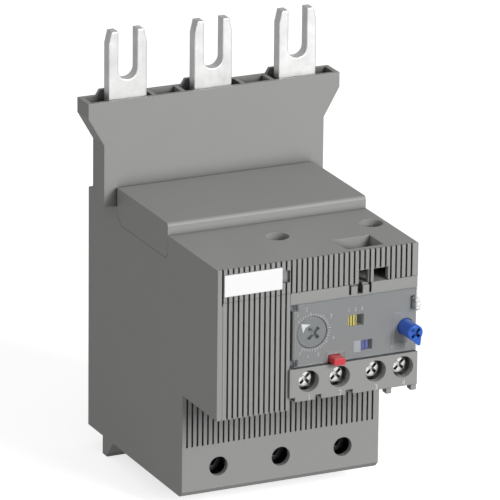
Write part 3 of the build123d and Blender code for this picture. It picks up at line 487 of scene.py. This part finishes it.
def make_dial_scale():
    """Ticks round the dial, every fifth one longer."""
    outlines = []
    half = math.degrees(TICK_HALF_WIDTH / SCALE_INNER)
    for i in range(SCALE_TICKS):
        angle = SCALE_START + SCALE_SWEEP * i / (SCALE_TICKS - 1)
        outer = SCALE_OUTER if i % TICKS_PER_LONG else SCALE_LONG
        outlines.append([
            around_dial(angle - half, SCALE_INNER),
            around_dial(angle + half, SCALE_INNER),
            around_dial(angle + half, outer),
            around_dial(angle - half, outer),
        ])
    add_piece("dial_scale", pad_mesh("dial_scale", outlines), "ink", "housing")


def make_number(name, number, x, z, front, height):
    """A plain printed number on a face that looks forwards."""
    letters = bpy.data.curves.new(name, "FONT")
    letters.body = str(number)
    letters.size = height * MM * LETTER_SIZE
    letters.extrude = INK * MM
    letters.align_x = "CENTER"
    letters.align_y = "CENTER"
    shape = bpy.data.objects.new(name + "_letters", letters)
    bpy.context.scene.collection.objects.link(shape)
    bpy.context.view_layer.update()
    mesh = bpy.data.meshes.new_from_object(shape.evaluated_get(bpy.context.evaluated_depsgraph_get()))
    bpy.data.objects.remove(shape)
    mesh.transform(Matrix.Translation(at(x, front, z)) @ Matrix.Rotation(math.pi / 2, 4, "X"))
    add_piece(name, mesh, "ink", "housing")


def box_outline(x, z):
    return [(x[0], z[0]), (x[1], z[0]), (x[1], z[1]), (x[0], z[1])]


def make_dial_numbers():
    for i, angle in enumerate(NUMBER_ANGLES, start=1):
        x, z = around_dial(angle, NUMBER_RADIUS)
        make_number(f"dial_number_{i}", i, x, z, PANEL_FRONT, NUMBER_HEIGHT)


def make_slider_marks():
    """Numbers over the class slider, a patch beside the test slider and two numbers below the knob."""
    for i, x in enumerate(CLASS_MARKS_X, start=1):
        make_number(f"class_number_{i}", i, x, CLASS_MARKS_LEVEL, PANEL_FRONT, SMALL_NUMBER_HEIGHT)
    patch = [box_outline(TEST_MARK_X, TEST_MARK_LEVEL)]
    add_piece("test_mark", pad_mesh("test_mark", patch), "pale_ink", "housing")
    for i, x in enumerate(RESET_MARKS_X, start=1):
        make_number(f"reset_number_{i}", i, x, RESET_MARKS_LEVEL, PANEL_FRONT, SMALL_NUMBER_HEIGHT)


def make_terminal_numbers():
    for i, x in enumerate(AUX_X, start=1):
        aside = x + AUX_NUMBER_ASIDE
        make_number(f"terminal_number_{i}", i, aside, AUX_NUMBER_LEVEL, BLOCK_FRONT, AUX_NUMBER_HEIGHT)


make_dial_scale()
make_dial_numbers()
make_slider_marks()
make_terminal_numbers()


# Springs

def wire_mesh(name, points, radius, sides=10):
    """A round wire along a list of points."""
    build = bmesh.new()
    rings = []
    for i, point in enumerate(points):
        ahead = points[min(i + 1, len(points) - 1)] - points[max(i - 1, 0)]
        turn = ahead.to_track_quat("Z", "Y")
        ring = []
        for k in range(sides):
            angle = math.tau * k / sides
            rim = Vector((radius * math.cos(angle), radius * math.sin(angle), 0))
            ring.append(build.verts.new(point + turn @ rim))
        rings.append(ring)
    for near, far in zip(rings, rings[1:]):
        best = min(range(sides), key=lambda s: (near[0].co - far[s].co).length)
        far[:] = far[best:] + far[:best]
        for k in range(sides):
            j = (k + 1) % sides
            build.faces.new((near[k], near[j], far[j], far[k]))
    build.faces.new(list(reversed(rings[0])))
    build.faces.new(rings[-1])
    bmesh.ops.recalc_face_normals(build, faces=build.faces)
    for face in build.faces:
        face.smooth = len(face.verts) == 4
    mesh = bpy.data.meshes.new(name)
    build.to_mesh(mesh)
    build.free()
    return mesh


def spring_points(start, way, length, radius, wire, turns):
    """Points along a compression spring, with its ends wound flat."""
    aside = way.orthogonal().normalized()
    up = way.cross(aside)
    total = turns + 2 * CLOSED_TURNS
    steps = int(STEPS_PER_TURN * total)
    free = length - 2 * wire * (1 + CLOSED_TURNS * 0.5)
    points = []
    for i in range(steps + 1):
        turned = total * i / steps
        middle = turned - CLOSED_TURNS
        last = middle - turns
        along = wire * 0.5 * (1 + min(turned, CLOSED_TURNS) + max(0.0, last) + min(max(middle, 0.0), 1.0))
        along += free * min(max(middle / turns, 0.0), 1.0)
        angle = math.tau * turned
        points.append(start + way * along + (aside * math.cos(angle) + up * math.sin(angle)) * radius)
    return points


def make_spring(node, body, way, radius, wire, turns):
    """A round spring in place of its plain solid, which lies between the housing and the body. It keeps the
    length it is built with.
    """
    way = Vector(way)
    low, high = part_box(node)
    middle = (Vector(low) + Vector(high)) / 2
    half = abs((Vector(high) - Vector(low)).dot(way)) / 2
    start = middle - way * half
    name = node + "_wire"
    points = spring_points(start, way, 2 * half, radius * MM, wire * MM, turns)
    piece = add_piece(name, wire_mesh(name, points, wire * MM / 2), "spring_steel")
    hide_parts(node)
    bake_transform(piece)


for node, values in SPRINGS.items():
    make_spring(node, **values)


# Floor, light and camera

def seen_directly(tree):
    """Two masks: what the camera sees, also through clear plastic, and what a shiny face reflects."""
    path = tree.nodes.new("ShaderNodeLightPath")
    straight = path.outputs["Is Camera Ray"]
    through = path.outputs["Is Transmission Ray"]
    return math_node(tree, "ADD", straight, through, clamp=True), path.outputs["Is Glossy Ray"]


def make_floor():
    """White to the camera apart from a faint shadow. Little of its light falls back on the relay."""
    bpy.ops.mesh.primitive_plane_add(size=FLOOR_SIZE, location=(0, 0, FEET_BOTTOM * MM))
    floor = bpy.context.object
    floor.name = "studio_floor"
    floor.visible_glossy = False
    material, tree, bsdf = new_material("studio floor")
    shown = seen_directly(tree)[0]
    tint = ranged(tree, shown, FLOOR_BOUNCE, FLOOR_SEEN)
    tree.links.new(scaled_colour(tree, (1.0, 1.0, 1.0), tint), bsdf.inputs["Base Color"])
    bsdf.inputs["Roughness"].default_value = 1.0
    bsdf.inputs["Specular IOR Level"].default_value = 0.0
    bsdf.inputs["Emission Color"].default_value = (1.0, 1.0, 1.0, 1.0)
    tree.links.new(math_node(tree, "MULTIPLY", shown, FLOOR_GLOW), bsdf.inputs["Emission Strength"])
    floor.data.materials.append(material)


def make_world():
    """White to the camera. Its light and its reflection fall off from the front right to the back left."""
    world = bpy.data.worlds.new("studio")
    bpy.context.scene.world = world
    world.use_nodes = True
    tree = world.node_tree
    background = tree.nodes["Background"]
    background.inputs["Color"].default_value = (1.0, 1.0, 1.0, 1.0)
    way = tree.nodes.new("ShaderNodeVectorMath")
    way.operation = "DOT_PRODUCT"
    way.inputs[1].default_value = BRIGHT_SIDE
    tree.links.new(tree.nodes.new("ShaderNodeTexCoord").outputs["Generated"], way.inputs[0])
    side = math_node(tree, "MULTIPLY_ADD", way.outputs["Value"], 0.5, clamp=True)
    side.node.inputs[2].default_value = 0.5
    shown, mirrored = seen_directly(tree)
    level = ranged(tree, mirrored, ranged(tree, side, *SKY_LIGHT), ranged(tree, side, *SKY_IN_METAL))
    tree.links.new(ranged(tree, shown, level, 1.0), background.inputs["Strength"])


def direction(azimuth, elevation):
    """The way from the relay to a place round it. Azimuth 0 is in front, and it grows to the right."""
    across = math.sin(azimuth) * math.cos(elevation)
    ahead = -math.cos(azimuth) * math.cos(elevation)
    return Vector((across, ahead, math.sin(elevation)))


def make_lamp(name, azimuth, elevation, distance, size, level):
    """A square soft box. At level 1 a white surface that faces it is just white."""
    lamp = bpy.data.lights.new(name, "AREA")
    lamp.size = size
    lamp.energy = level * math.pi ** 2 * distance ** 2
    holder = bpy.data.objects.new(name, lamp)
    away = direction(math.radians(azimuth), math.radians(elevation))
    holder.location = CAMERA_TARGET + away * distance
    holder.rotation_euler = away.to_track_quat("Z", "Y").to_euler()
    bpy.context.scene.collection.objects.link(holder)


def make_camera():
    """The photo's view, with its slight roll and its shift off the middle."""
    camera = bpy.data.cameras.new("camera")
    camera.sensor_width = SENSOR
    camera.lens = SENSOR * FOCAL_IN_FRAMES
    camera.clip_start = 0.1
    camera.clip_end = 50
    holder = bpy.data.objects.new("camera", camera)
    back = direction(CAMERA_AZIMUTH, CAMERA_ELEVATION)
    level = Vector((math.cos(CAMERA_AZIMUTH), math.sin(CAMERA_AZIMUTH), 0))
    up = back.cross(level)
    cos_roll = math.cos(CAMERA_ROLL)
    sin_roll = math.sin(CAMERA_ROLL)
    right = level * cos_roll + up * sin_roll
    top = up * cos_roll - level * sin_roll
    axes = Matrix((right, top, back)).transposed().to_4x4()
    place = CAMERA_TARGET + back * CAMERA_DISTANCE + right * CAMERA_SHIFT_RIGHT + top * CAMERA_SHIFT_UP
    holder.matrix_world = Matrix.Translation(place) @ axes
    bpy.context.scene.collection.objects.link(holder)
    bpy.context.scene.camera = holder


make_floor()
make_world()
for name, values in LAMPS.items():
    make_lamp(name, **values)
make_camera()
bpy.context.scene.view_settings.view_transform = "Standard"
